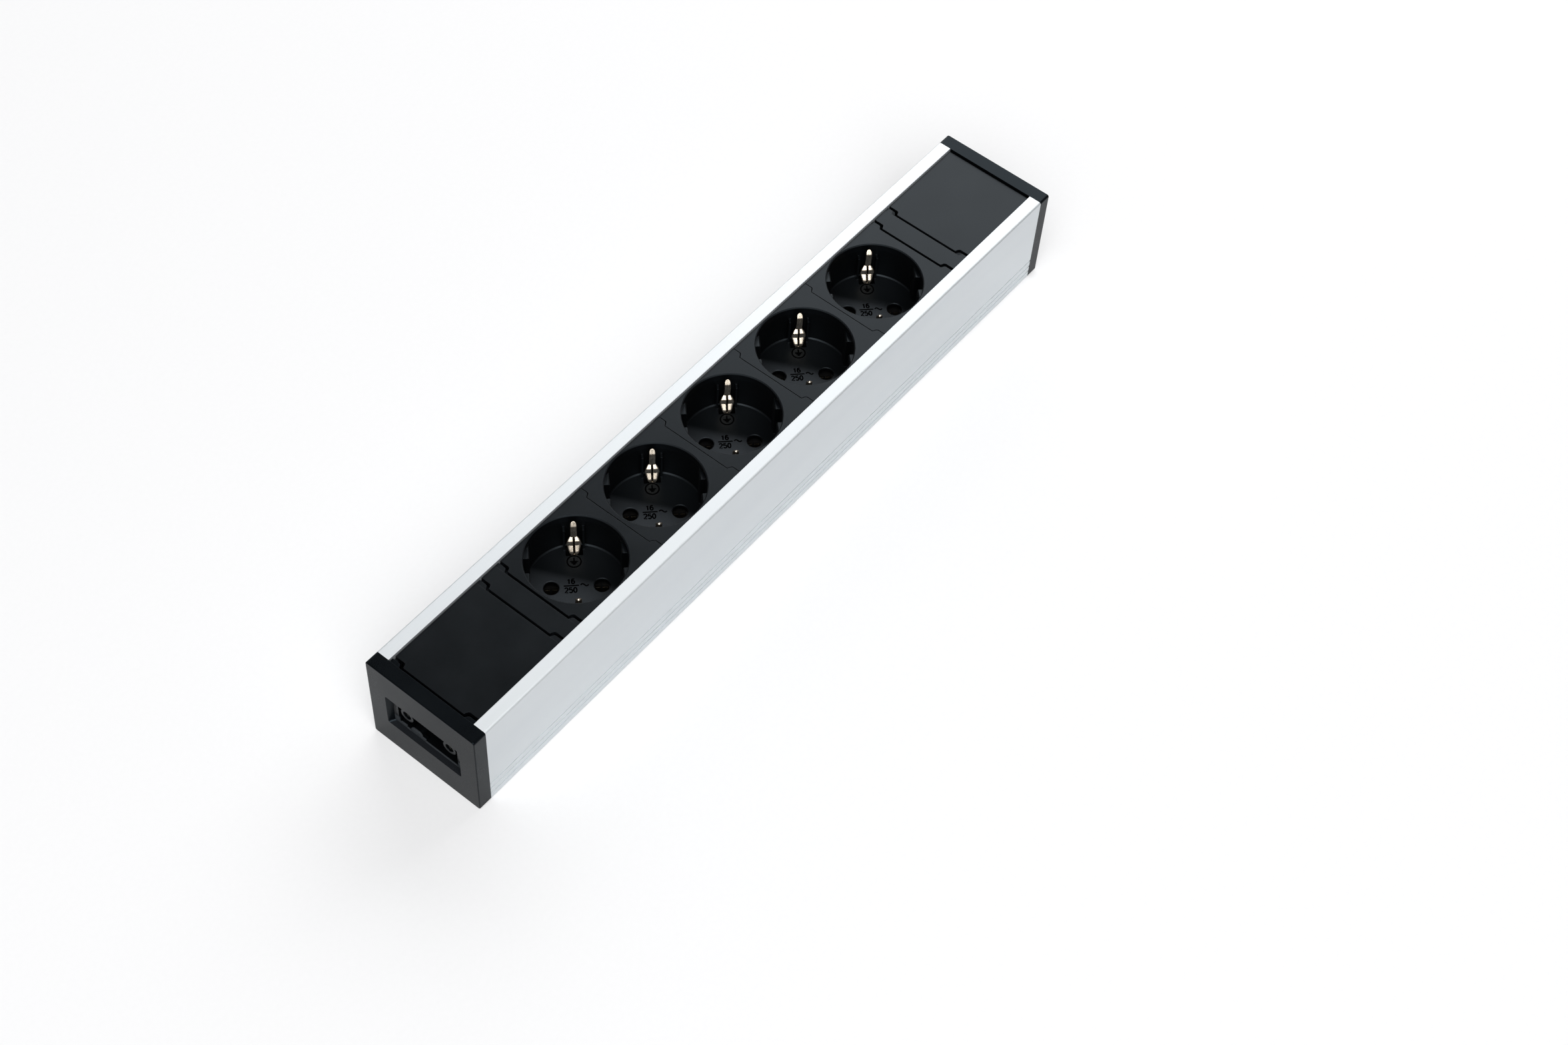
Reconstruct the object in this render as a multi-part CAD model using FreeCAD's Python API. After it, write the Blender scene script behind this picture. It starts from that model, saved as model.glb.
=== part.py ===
import FreeCAD, Part
import math
import os

# Multi-socket box: an extruded aluminium channel with five earthed sockets
# let into its open top, a blank panel and a spacer at each end, moulded end
# caps, and a three-pole supply inlet in the near cap.
# Millimetres. X runs along the strip from the inlet end to the blind end,
# Y across it, Z up. The origin is the middle of the underside.

# Strip as a whole; the margins lie beyond a well's rim, beside it and at its ends
side_margin = 6.75
strip_height = 45.8
cap_plate = 6.0
blank_length = 45.0
spacer_length = 10.0
end_margin = 3.0
socket_count = 5
face_drop = 1.0
wide_joint = 1.0
close_joint = 0.25
near_cap_joint = 1.3
far_cap_joint = 0.6
slide_gap = 0.2

# Extruded channel
channel_wall = 1.8
channel_floor = 1.8
flange_reach = 5.8
flange_thickness = 1.6
lip_thickness = 1.2
lip_depth = 3.0
guide_reach = 2.4
guide_thickness = 1.2
channel_corner = 1.0
groove_heights = (3.9, 7.0, 10.4)
groove_width = 0.7
groove_depth = 0.35
port_radius = 1.7
port_wall = 1.2
port_inset = 2.5
port_mouth = 1.8

# Moulded plates that slide into the channel
plate_thickness = 2.0
skirt_thickness = 1.5
shoulder_thickness = 1.8
plate_edge = 0.3
tab_reach = 1.9
tab_root = 4.8
tab_tip = 3.6
tab_round = 1.0
tab_step = 0.3
lap_reach = 2.0
lap_thickness = 1.0
lap_root = 1.5
blank_rib = 1.4
blank_rib_depth = 1.8

# Socket
pin_angle = 45.0
well_radius = 19.5
well_depth = 18.2
well_shift = -0.8
well_floor = 2.2
cup_wall = 1.3
rim_bevel = 0.4
floor_bevel = 0.5
pin_spacing = 19.0
pin_hole_radius = 3.0
pin_hole_bevel = 0.25
lug_inset = 2.5
lug_near = 3.3
lug_width = 6.0
lug_drop = 3.0
lug_bevel = 0.5
clip_guide = 0.8
clip_guide_drop = 6.0
boss_offset = 2.34
boss_angle = 35.9
boss_radius = 2.2
boss_bore_depth = 12.0

# Earth clip, one bent strip with a finger at each end
clip_thickness = 0.7
clip_head_width = 5.8
clip_tip_width = 2.6
clip_bend = 0.8
clip_root_width = 4.4
clip_root_inset = 4.15
clip_foot_rise = 1.2
clip_crease_inset = 2.3
clip_crease_height = 4.0
clip_crest_inset = 3.1
clip_crest_height = 5.6
clip_neck_inset = 1.85
clip_neck_height = 8.5
clip_tip_drop = 1.6
clip_head_height = 8.5
clip_head_round = 2.2
clip_head_lift = 0.4
clip_root_round = 1.2
clip_slit = 0.35
clip_gap = 0.35

# Pin contacts, one bent fork for each pin
fork_thickness = 0.6
fork_width = 5.0
fork_throat = 5.0
fork_belly = 6.0
fork_mouth = 6.2
fork_bend = 1.0
fork_top_gap = 4.0
fork_throat_drop = 2.4
fork_waist_drop = 7.0
fork_slot = 0.8
fork_slot_depth = 10.0

# Socket base
base_gap = 1.2
base_margin = 0.3
base_wall = 1.4
base_corner = 3.0
base_plate = 1.5
chamber_wall = 1.0
chamber_gap = 0.2
chamber_corner = 0.5
tower_radius = 3.5
screw_radius = 1.15
screw_clearance = 0.25
screw_head_radius = 2.4
screw_head_height = 1.8
screw_head_recess = 0.25
screw_seat = 6.4
screw_grip = 9.0
screw_cross = 0.7

# Conductors
busbar_width = 8.0
busbar_thickness = 1.0
busbar_overhang = 4.0
earth_bar_height = 7.0
earth_bar_thickness = 1.2
bar_gap = 0.3
barrel_wall = 0.75
barrel_length = 6.0
lead_diameter = 2.8
lead_fit = 0.05
lead_entry = 5.0
wire_run = 8.0
earth_wire_run = 5.0

# Insulating tray under the busbars
tray_thickness = 1.4
tray_gap = 0.3
tray_lip = 1.0
tray_lip_height = 2.8
tray_ridge = 1.6
tray_ridge_height = 0.8
tray_overhang = 4.0

# Inlet window, insert and its three contacts
window_width = 36.1
window_height = 16.9
window_corner = 1.0
window_draft = 1.3
cap_front = 2.3
cap_edge = 0.4
cap_tongue_length = 6.0
cap_tongue_width = 3.0
cap_tongue_thickness = 2.0
cap_lip_length = 3.0
cap_lip_thickness = 1.2
peg_length = 9.0
peg_gap = 0.1
cap_rib = 1.2
hook_width = 8.0
hook_thickness = 1.2
hook_catch = 0.8
insert_flange = 2.0
insert_flange_width = 40.0
insert_flange_height = 22.4
insert_length = 21.0
insert_width = 32.4
insert_height = 19.4
mouth_width = 28.9
mouth_height = 16.5
mouth_depth = 14.0
mouth_corner = 1.2
pole_pitch = 10.4
sleeve_radius = 3.1
sleeve_bore = 1.9
sleeve_recess = 0.3
earth_sleeve_recess = 5.7
key_offset = 6.0
key_radius = 2.75
key_height = 3.2
key_depth = 9.0
key_lips = ((10.9, 13.8), (1.6, 3.25))
key_lip_height = 1.2
key_lip_depth = 2.0
contact_radius = 1.8
contact_bore = 1.25
contact_recess = 1.2
contact_bore_depth = 9.0
contact_slit = 0.4
contact_slit_depth = 6.0
collar_radius = 2.6
collar_length = 1.5

# Bond between the earth bar and the channel
tag_thickness = 0.8
tag_width = 4.2
tag_run = 9.0
tag_bend = 1.2
tag_offset = 6.0
bond_head_radius = 2.3
bond_head_height = 1.8
bond_screw_length = 8.0
bond_slot = 0.8
bond_run = 9.0

# Heights and places that follow from the sizes above
V = FreeCAD.Vector
half_width = well_radius + side_margin
socket_pitch = 2 * (well_radius + end_margin)
strip_length = 2 * (cap_plate + blank_length + spacer_length) + socket_count * socket_pitch
near_end = -strip_length / 2
channel_start = near_end + cap_plate
channel_length = strip_length - 2 * cap_plate
sockets_start = channel_start + blank_length + spacer_length
sockets_end = sockets_start + socket_count * socket_pitch
face_z = strip_height - face_drop
opening_half = half_width - flange_reach
plate_half = opening_half - slide_gap
inner_half = half_width - channel_wall
shoulder_half = inner_half - slide_gap
shoulder_top = strip_height - lip_depth - slide_gap
shoulder_bottom = shoulder_top - shoulder_thickness
guide_top = shoulder_bottom
plate_under = face_z - plate_thickness
cup_radius = well_radius + cup_wall
floor_z = face_z - well_depth
lug_flat = well_radius - lug_inset
clip_root_reach = well_radius - clip_root_inset
clip_crease_reach = well_radius - clip_crease_inset
clip_crest_reach = well_radius - clip_crest_inset
clip_neck_reach = well_radius - clip_neck_inset
boss_along = (well_radius + boss_offset) * math.cos(math.radians(boss_angle))
boss_across = (well_radius + boss_offset) * math.sin(math.radians(boss_angle))
base_length = socket_pitch - 2 * base_gap
base_width = 2 * (boss_across + tower_radius + base_margin)
tray_width = base_width + 2 * (tray_gap + tray_lip)
cup_bottom = floor_z - well_floor
port_y = inner_half - port_inset
port_z = channel_floor + port_inset
tray_top = channel_floor + tray_thickness
busbar_top = tray_top + busbar_thickness
leg_top = cup_bottom
leg_bottom = leg_top - clip_thickness
earth_bar_bottom = leg_bottom - earth_bar_height
inlet_z = strip_height / 2 - 0.1
seat_x = near_end + cap_front
mouth_back = seat_x + mouth_depth
insert_back = seat_x + insert_length
barrel_bore = lead_diameter / 2 + lead_fit
barrel_radius = barrel_bore + barrel_wall
busbar_barrel_z = busbar_top + barrel_radius
earth_barrel_z = leg_bottom - earth_bar_height / 2
bars_start = sockets_start - busbar_overhang
bars_end = sockets_end
turn = math.radians(pin_angle)
pin_line = V(math.cos(turn), -math.sin(turn), 0)
earth_line = V(math.sin(turn), math.cos(turn), 0)
up = V(0, 0, 1)


def across(x):
    """Places (y, z) on the plane across the strip at x."""
    return lambda a, b: V(x, a, b)


def flat(z):
    """Places (x, y) on the level plane at z."""
    return lambda a, b: V(a, b, z)


def upright(centre, axis, shift):
    """Places (distance along axis, z) on an upright plane through centre, moved by shift."""
    return lambda a, b: centre + axis * a + up * b + shift


def rounded_wire(corners, place):
    """Closed wire through (a, b, radius) corners, each turned on an arc of its radius."""
    count = len(corners)
    points = [V(a, b, 0) for a, b, radius in corners]
    turns = []
    for i in range(count):
        here = points[i]
        to_last = points[i - 1] - here
        to_next = points[(i + 1) % count] - here
        room = 0.49 * min(to_last.Length, to_next.Length)
        half = to_last.getAngle(to_next) / 2
        reach = min(corners[i][2] / math.tan(half), room)
        radius = reach * math.tan(half)
        to_last.normalize()
        to_next.normalize()
        middle = here
        if radius > 0:
            inward = (to_last + to_next).normalize()
            middle = here + inward * (radius / math.sin(half) - radius)
        turns.append((here + to_last * reach, middle, here + to_next * reach))
    edges = []
    for i in range(count):
        first, middle, last = [place(p.x, p.y) for p in turns[i]]
        if (last - first).Length > 1e-6:
            edges.append(Part.Arc(first, middle, last).toShape())
        start = place(turns[(i + 1) % count][0].x, turns[(i + 1) % count][0].y)
        edges.append(Part.makeLine(last, start))
    return Part.Wire(edges)


def prism(corners, place, sweep):
    """Solid made by moving a rounded outline along a vector."""
    return Part.Face(rounded_wire(corners, place)).extrude(sweep)


def strip_corners(path, thickness):
    """Outline of a bent strip: its middle line, moved half a thickness to each side."""
    half = thickness / 2
    left = []
    right = []
    for i, (a, b, radius) in enumerate(path):
        here = V(a, b, 0)
        before = V(*path[i - 1][:2], 0) if i > 0 else None
        after = V(*path[i + 1][:2], 0) if i < len(path) - 1 else None
        come = (here - before).normalize() if before else (after - here).normalize()
        leave = (after - here).normalize() if after else come
        come_side = V(-come.y, come.x, 0)
        leave_side = V(-leave.y, leave.x, 0)
        offset = (come_side + leave_side) * (half / (1 + come_side.dot(leave_side)))
        lean = come.cross(leave).z
        bend = math.copysign(half, lean) if abs(lean) > 1e-9 else 0
        inner = max(radius - bend, 0.05) if radius else 0
        outer = max(radius + bend, 0.05) if radius else 0
        left.append((here.x + offset.x, here.y + offset.y, inner))
        right.append((here.x - offset.x, here.y - offset.y, outer))
    return left + right[::-1]


def box(x0, x1, y0, y1, z0, z1):
    """Box between two corners."""
    return Part.makeBox(x1 - x0, y1 - y0, z1 - z0, V(x0, y0, z0))


def rod(radius, start, sweep):
    """Cylinder from a point along a vector."""
    return Part.makeCylinder(radius, sweep.Length, start, sweep)


def tube(outer, inner, start, sweep):
    """Hollow cylinder."""
    return rod(outer, start, sweep).cut(rod(inner, start, sweep))


def block(low, high, corner):
    """Corners of a rectangle from low to high, for rounded_wire."""
    return [(low[0], low[1], corner), (high[0], low[1], corner),
            (high[0], high[1], corner), (low[0], high[1], corner)]


def joined(shapes):
    """One solid from several that touch, with the seams between flat faces removed."""
    whole = shapes[0]
    for shape in shapes[1:]:
        whole = whole.fuse(shape)
    return whole.removeSplitter()


def without(shape, cutters):
    """Shape with every cutter taken away."""
    for cutter in cutters:
        shape = shape.cut(cutter)
    return shape


def mirrored(shape):
    """Copy turned over to the far end of the strip."""
    return shape.mirror(V(0, 0, 0), V(1, 0, 0))


def save(name, shape):
    """Writes one part of the strip as its own file."""
    solids = shape.Solids
    shape = solids[0] if len(solids) == 1 else Part.makeCompound(solids)
    shape.exportStep(f"parts/{name}.step")
    print(f"{name:24s} solids {len(solids)} valid {shape.isValid()} volume {shape.Volume:.1f}")


def socket_centre(index):
    """Middle of one socket's well, at floor height zero."""
    return V(sockets_start + (index + 0.5) * socket_pitch + well_shift, 0, 0)


# Extruded channel

def channel_half():
    """Right half of the channel's section, from the underside round to the inner floor."""
    corners = [(half_width, 0, channel_corner)]
    for height in groove_heights:
        corners.append((half_width, height - groove_width / 2, 0))
        corners.append((half_width - groove_depth, height - groove_width / 2, 0))
        corners.append((half_width - groove_depth, height + groove_width / 2, 0))
        corners.append((half_width, height + groove_width / 2, 0))
    corners += [
        (half_width, strip_height, channel_corner),
        (opening_half, strip_height, plate_edge),
        (opening_half, strip_height - lip_depth, 0),
        (opening_half + lip_thickness, strip_height - lip_depth, 0),
        (opening_half + lip_thickness, strip_height - flange_thickness, 0),
        (inner_half, strip_height - flange_thickness, 0),
        (inner_half, guide_top, 0),
        (inner_half - guide_reach, guide_top, plate_edge),
        (inner_half - guide_reach, guide_top - guide_thickness, plate_edge),
        (inner_half, guide_top - guide_thickness, 0),
        (inner_half, channel_floor, 0),
    ]
    return corners


def housing_channel():
    """Aluminium channel with lipped flanges, guide ribs, side grooves and two screw ports."""
    right = channel_half()
    left = [(-y, z, radius) for y, z, radius in reversed(right)]
    run = V(channel_length, 0, 0)
    parts = [prism(right + left, across(channel_start), run)]
    mouths = []
    for side in (-1, 1):
        middle = V(channel_start, side * port_y, port_z)
        parts.append(rod(port_radius + port_wall, middle, run))
        mouths.append(rod(port_radius, middle, run))
        inner = sorted((side * port_y, side * (port_y - port_radius - 2 * port_wall)))
        mouths.append(box(channel_start, channel_start + channel_length, *inner,
                          port_z - port_mouth / 2, port_z + port_mouth / 2))
    body = without(joined(parts), mouths)
    outside = block((-half_width, 0), (half_width, strip_height), channel_corner)
    return body.common(prism(outside, across(channel_start), run)).removeSplitter()


# Plates between the flanges

def plate_section():
    """Section of a moulded plate: face, skirts and the shoulders that run under the flanges."""
    right = [
        (plate_half, face_z, plate_edge),
        (plate_half, shoulder_top, 0),
        (shoulder_half, shoulder_top, plate_edge),
        (shoulder_half, shoulder_bottom, plate_edge),
        (plate_half - skirt_thickness, shoulder_bottom, 0),
        (plate_half - skirt_thickness, plate_under, 0),
    ]
    left = [(-y, z, radius) for y, z, radius in reversed(right)]
    return right + left


def tab(edge, side, grow, low, high):
    """Tab beside one flange that reaches over an edge; grow makes it the space that takes the tab."""
    outer = side * (plate_half + grow)
    root = side * (plate_half - tab_root - grow)
    tip = side * (plate_half - tab_tip - grow)
    reach = tab_reach + grow
    corners = [(edge - 1.0, outer, 0), (edge + reach, outer, 0), (edge + reach, tip, tab_round),
               (edge, root, tab_round), (edge - 1.0, root, 0)]
    return prism(corners, flat(low), V(0, 0, high - low))


def plate(near, far, gap, tab_drop, lapped):
    """Plate from near to far, with tabs over its far edge and room for its neighbour's tabs."""
    start = near + gap
    parts = [prism(plate_section(), across(start), V(far - start, 0, 0))]
    if lapped:
        lap_half = plate_half - skirt_thickness - slide_gap
        lap_top = plate_under - slide_gap
        lap_low = lap_top - lap_thickness
        parts.append(box(start - lap_reach, start + lap_root, -lap_half, lap_half, lap_low, lap_top))
        parts.append(box(start, start + lap_root, -lap_half, lap_half, lap_low, plate_under))
    notches = []
    for side in (-1, 1):
        if tab_drop is not None:
            parts.append(tab(far, side, 0, plate_under + slide_gap, face_z - tab_drop))
        notches.append(tab(near, side, gap, plate_under, strip_height))
    steps = []
    if tab_drop:
        for side in (-1, 1):
            ledge = sorted((side * (plate_half - tab_root), side * half_width))
            steps.append(box(far, far + 2 * tab_reach, *ledge, face_z - tab_drop, strip_height))
    return without(joined(parts), notches + steps)


def blank_panel(near, far, gap, tab_drop, lapped):
    """Plain panel over the wiring space, stiffened by ribs under its face."""
    parts = [plate(near, far, gap, tab_drop, lapped)]
    rib_half = plate_half - skirt_thickness
    for share in (1 / 3, 2 / 3):
        middle = near + share * (far - near)
        parts.append(box(middle - blank_rib / 2, middle + blank_rib / 2, -rib_half, rib_half,
                         plate_under - blank_rib_depth, plate_under))
    return joined(parts)


# Socket

def lug(centre, side, flank):
    """Guide lug on the well's wall, its inner top edge bevelled."""
    low = min(flank * lug_near, flank * (lug_near + lug_width))
    top = face_z - lug_drop
    section = [(side * lug_flat, floor_z, 0), (side * lug_flat, top - lug_bevel, 0),
               (side * (lug_flat + lug_bevel), top, 0), (side * (well_radius + cup_wall / 2), top, 0),
               (side * (well_radius + cup_wall / 2), floor_z, 0)]
    return prism(section, upright(centre, pin_line, earth_line * low), earth_line * lug_width)


def clip_guides(centre, side):
    """Two thin ribs that stand beside an earth finger."""
    ribs = []
    inner = clip_head_width / 2 + clip_gap
    for flank in (-1, 1):
        low = min(flank * inner, flank * (inner + clip_guide))
        section = block((side * (clip_neck_reach - clip_thickness), floor_z),
                        (side * (well_radius + cup_wall / 2), face_z - clip_guide_drop), 0)
        ribs.append(prism(section, upright(centre, earth_line, pin_line * low), pin_line * clip_guide))
    return ribs


def socket_insert(index):
    """Moulded socket: plate, cup with its well, lugs, pin holes, finger slots and screw bosses."""
    near = sockets_start + index * socket_pitch
    last = index == socket_count - 1
    gap = wide_joint if index == 0 else close_joint
    body = plate(near, near + socket_pitch, gap, tab_step if last else 0, True)
    centre = socket_centre(index)
    parts = [body, rod(cup_radius, centre + up * cup_bottom, up * (plate_under - cup_bottom))]
    rim = centre + up * (face_z - rim_bevel)
    foot = centre + up * floor_z
    holes = [rod(well_radius, foot + up * floor_bevel, up * (well_depth - floor_bevel)),
             Part.makeCone(well_radius - floor_bevel, well_radius, floor_bevel, foot, up),
             Part.makeCone(well_radius, well_radius + rim_bevel, rim_bevel, rim, up)]
    for side in (-1, 1):
        boss = centre + V(side * boss_along, -side * boss_across, cup_bottom)
        parts.append(rod(boss_radius, boss, up * (plate_under - cup_bottom)))
        holes.append(rod(screw_radius, boss, up * boss_bore_depth))
        bulge = sorted((side * plate_half, side * (cup_radius + 1)))
        holes.append(box(near, near + socket_pitch, *bulge, shoulder_top, plate_under))
    body = without(joined(parts), holes)
    inside = []
    openings = []
    slot_half = clip_head_width / 2 + clip_gap
    for side in (-1, 1):
        inside += [lug(centre, side, flank) for flank in (-1, 1)]
        inside += clip_guides(centre, side)
        hole = centre + pin_line * (side * pin_spacing / 2)
        openings.append(rod(pin_hole_radius, hole + up * cup_bottom, up * well_floor))
        openings.append(Part.makeCone(pin_hole_radius, pin_hole_radius + pin_hole_bevel, pin_hole_bevel,
                                      hole + up * (floor_z - pin_hole_bevel), up))
        slot = block((side * (clip_root_reach - clip_thickness / 2 - clip_bend), cup_bottom),
                     (side * (well_radius - clip_gap), floor_z), 0)
        place = upright(centre, earth_line, pin_line * -slot_half)
        openings.append(prism(slot, place, pin_line * (2 * slot_half)))
    return without(joined([body] + inside), openings)


def earth_clip(index):
    """Earth strip under the well's floor, with a bulged finger rising at each side."""
    centre = socket_centre(index)
    half = clip_thickness / 2
    leg = leg_bottom + half
    tip = face_z - clip_tip_drop
    right = [(clip_root_reach, leg, clip_bend),
             (clip_root_reach, floor_z + clip_foot_rise, clip_bend),
             (clip_crease_reach, floor_z + clip_crease_height, clip_bend / 2),
             (clip_crest_reach, floor_z + clip_crest_height, clip_bend),
             (clip_neck_reach, floor_z + clip_neck_height, clip_bend),
             (clip_neck_reach, tip, 0)]
    path = [(-a, b, radius) for a, b, radius in reversed(right)] + right
    wide = clip_head_width / 2
    place = upright(centre, earth_line, pin_line * -wide)
    strip = prism(strip_corners(path, clip_thickness), place, pin_line * clip_head_width)
    head = floor_z + clip_head_height
    narrow = clip_tip_width / 2
    root = clip_root_width / 2
    lift = floor_z + clip_head_lift
    right = [(root, leg - clip_thickness, 0), (root, lift, 0), (wide, lift, clip_root_round),
             (wide, head, clip_head_round), (narrow, head, 0), (narrow, tip + half, narrow * 0.9)]
    front = right + [(-a, b, radius) for a, b, radius in reversed(right)]
    span = well_radius * 2
    place = upright(centre, pin_line, earth_line * (-span / 2))
    shape = strip.common(prism(front, place, earth_line * span))
    slits = []
    for side in (-1, 1):
        reach = sorted((side * (clip_crest_reach - 3 * clip_thickness), side * (well_radius)))
        slit = block((reach[0], floor_z + 1.5), (reach[1], head - 0.8), 0)
        place = upright(centre, earth_line, pin_line * (-clip_slit / 2))
        slits.append(prism(slit, place, pin_line * clip_slit))
    return without(shape, slits)


def pin_fork(index, side):
    """Fork that grips one pin: a strip bent up into two split leaves that lean in to a throat."""
    centre = socket_centre(index) + pin_line * (side * pin_spacing / 2)
    half = fork_thickness / 2
    top = cup_bottom - fork_top_gap
    right = [(fork_belly / 2 + half, busbar_top + half, fork_bend),
             (fork_belly / 2 + half, top - fork_waist_drop, 4 * fork_bend),
             (fork_throat / 2 + half, top - fork_throat_drop, 2 * fork_bend),
             (fork_mouth / 2 + half, top, 0)]
    path = [(-a, b, radius) for a, b, radius in reversed(right)] + right
    place = upright(centre, earth_line, pin_line * (-fork_width / 2))
    shape = prism(strip_corners(path, fork_thickness), place, pin_line * fork_width)
    slot = block((-fork_mouth, top - fork_slot_depth), (fork_mouth, top + 1), 0)
    place = upright(centre, earth_line, pin_line * (-fork_slot / 2))
    return shape.cut(prism(slot, place, pin_line * fork_slot))


def chamber(index, side, grow, low, high):
    """Upright space round one fork, turned with the pin line."""
    centre = socket_centre(index) + pin_line * (side * pin_spacing / 2)
    along = fork_width / 2 + chamber_gap + grow
    reach = fork_mouth / 2 + fork_thickness + chamber_gap + grow
    corners = block((-along, -reach), (along, reach), chamber_corner + grow)
    place = lambda a, b: centre + pin_line * a + earth_line * b + up * low
    return prism(corners, place, up * (high - low))


def socket_base(index):
    """Moulded base under a cup: outer wall, floor, fork chambers and two screw towers."""
    centre = socket_centre(index)
    half_x = base_length / 2
    half_y = base_width / 2
    plate_low = busbar_top + bar_gap
    outline = block((centre.x - half_x, -half_y), (centre.x + half_x, half_y), base_corner)
    inside = block((centre.x - half_x + base_wall, -half_y + base_wall),
                   (centre.x + half_x - base_wall, half_y - base_wall), base_corner - base_wall)
    shell = prism(outline, flat(tray_top), up * (cup_bottom - tray_top))
    shell = without(shell, [prism(inside, flat(plate_low + base_plate), up * cup_bottom),
                            prism(inside, flat(tray_top), up * (plate_low - tray_top))])
    parts = [shell]
    holes = []
    for side in (-1, 1):
        parts.append(chamber(index, side, chamber_wall, plate_low, leg_bottom - bar_gap))
        holes.append(chamber(index, side, 0, tray_top, cup_bottom))
        tower = centre + V(side * boss_along, -side * boss_across, 0)
        seat = cup_bottom - screw_seat
        parts.append(rod(tower_radius, tower + up * plate_low, up * (cup_bottom - plate_low)))
        foot = tower + up * tray_top
        holes.append(rod(screw_head_radius + screw_head_recess, foot, up * (seat - tray_top)))
        holes.append(rod(screw_radius + screw_clearance, foot, up * (cup_bottom - tray_top)))
        bar_y = -side * math.sin(turn) * pin_spacing / 2
        holes.append(box(centre.x - half_x, centre.x + half_x, bar_y - busbar_width / 2 - bar_gap,
                         bar_y + busbar_width / 2 + bar_gap, tray_top, plate_low))
    slot = earth_bar_thickness / 2 + bar_gap
    holes.append(box(centre.x - half_x, centre.x + half_x, -slot, slot,
                     earth_bar_bottom - bar_gap, cup_bottom))
    ridge = tray_ridge / 2 + bar_gap
    holes.append(box(centre.x - half_x, centre.x + half_x, -ridge, ridge, tray_top,
                     tray_top + tray_ridge_height + bar_gap))
    body = joined(parts).common(prism(outline, flat(tray_top), up * (cup_bottom - tray_top)))
    return without(body, holes)


def base_screws():
    """Cross-head screws, two to a socket, that hold each base to its cup."""
    screws = []
    for index in range(socket_count):
        for side in (-1, 1):
            seat = socket_centre(index) + V(side * boss_along, -side * boss_across, cup_bottom - screw_seat)
            head = rod(screw_head_radius, seat, up * -screw_head_height)
            shank = rod(screw_radius, seat, up * (screw_seat + screw_grip))
            low = seat.z - screw_head_height
            arm = screw_head_radius * 0.7
            slim = screw_cross / 2
            recess = [box(seat.x - arm, seat.x + arm, seat.y - slim, seat.y + slim, low, low + screw_cross),
                      box(seat.x - slim, seat.x + slim, seat.y - arm, seat.y + arm, low, low + screw_cross)]
            screws.append(without(head.fuse(shank), recess))
    return Part.makeCompound(screws)


# Conductors

def busbar(side):
    """Flat bar under one row of forks, with a barrel for its lead at the near end."""
    y = -side * math.sin(turn) * pin_spacing / 2
    half = busbar_width / 2
    first = bars_start - barrel_length
    outline = block((first, y - half), (bars_end, y + half), half * 0.6)
    bar = prism(outline, flat(tray_top), up * busbar_thickness)
    start = V(first + 1.0, y, busbar_barrel_z)
    barrel = rod(barrel_radius, start, V(barrel_length, 0, 0))
    neck = box(start.x, start.x + barrel_length, y - barrel_wall, y + barrel_wall,
               busbar_top, busbar_barrel_z)
    return joined([bar, barrel, neck]).cut(rod(barrel_bore, start, V(lead_entry, 0, 0)))


def earth_bar():
    """Earth bar on edge under the clips, with a barrel at each end."""
    half = earth_bar_thickness / 2
    parts = [box(bars_start, bars_end, -half, half, earth_bar_bottom, leg_bottom)]
    bores = []
    for start, sense in ((bars_start, -1), (bars_end, 1)):
        root = V(start - sense * 1.0, 0, earth_barrel_z)
        tip = V(start + sense * barrel_length, 0, earth_barrel_z)
        parts.append(rod(barrel_radius, root, tip - root))
        bores.append(rod(barrel_bore, tip, V(-sense * lead_entry, 0, 0)))
    return without(joined(parts), bores)


def lead(points):
    """Insulated wire along straight runs joined by tangent arcs."""
    edges = []
    start = points[0]
    for before, here, after in zip(points, points[1:], points[2:]):
        to_last = before - here
        to_next = after - here
        half = to_last.getAngle(to_next) / 2
        reach = 0.45 * min(to_last.Length, to_next.Length)
        radius = reach * math.tan(half)
        to_last.normalize()
        to_next.normalize()
        inward = (to_last + to_next).normalize()
        first = here + to_last * reach
        last = here + to_next * reach
        edges.append(Part.makeLine(start, first))
        edges.append(Part.Arc(first, here + inward * (radius / math.sin(half) - radius), last).toShape())
        start = last
    edges.append(Part.makeLine(start, points[-1]))
    path = Part.Wire(edges)
    run = points[1] - points[0]
    circle = Part.Wire(Part.makeCircle(lead_diameter / 2, points[0], run))
    return path.makePipeShell([circle], True, False)


def inlet_lead(pole):
    """Lead from one inlet contact to its bar; pole is -1 live, 0 earth, 1 neutral."""
    start = V(insert_back + collar_length + barrel_length - lead_entry, pole * pole_pitch, inlet_z)
    if pole == 0:
        end = V(bars_start - barrel_length + lead_entry, 0, earth_barrel_z)
    else:
        row = pole * math.sin(turn) * pin_spacing / 2
        end = V(bars_start - barrel_length + 1.0 + lead_entry, row, busbar_barrel_z)
    run = lead_entry + (wire_run if pole else earth_wire_run)
    leave = start + V(run, 0, 0)
    arrive = end - V(run, 0, 0)
    return lead([start, leave, arrive, end])


# Inlet

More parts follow.
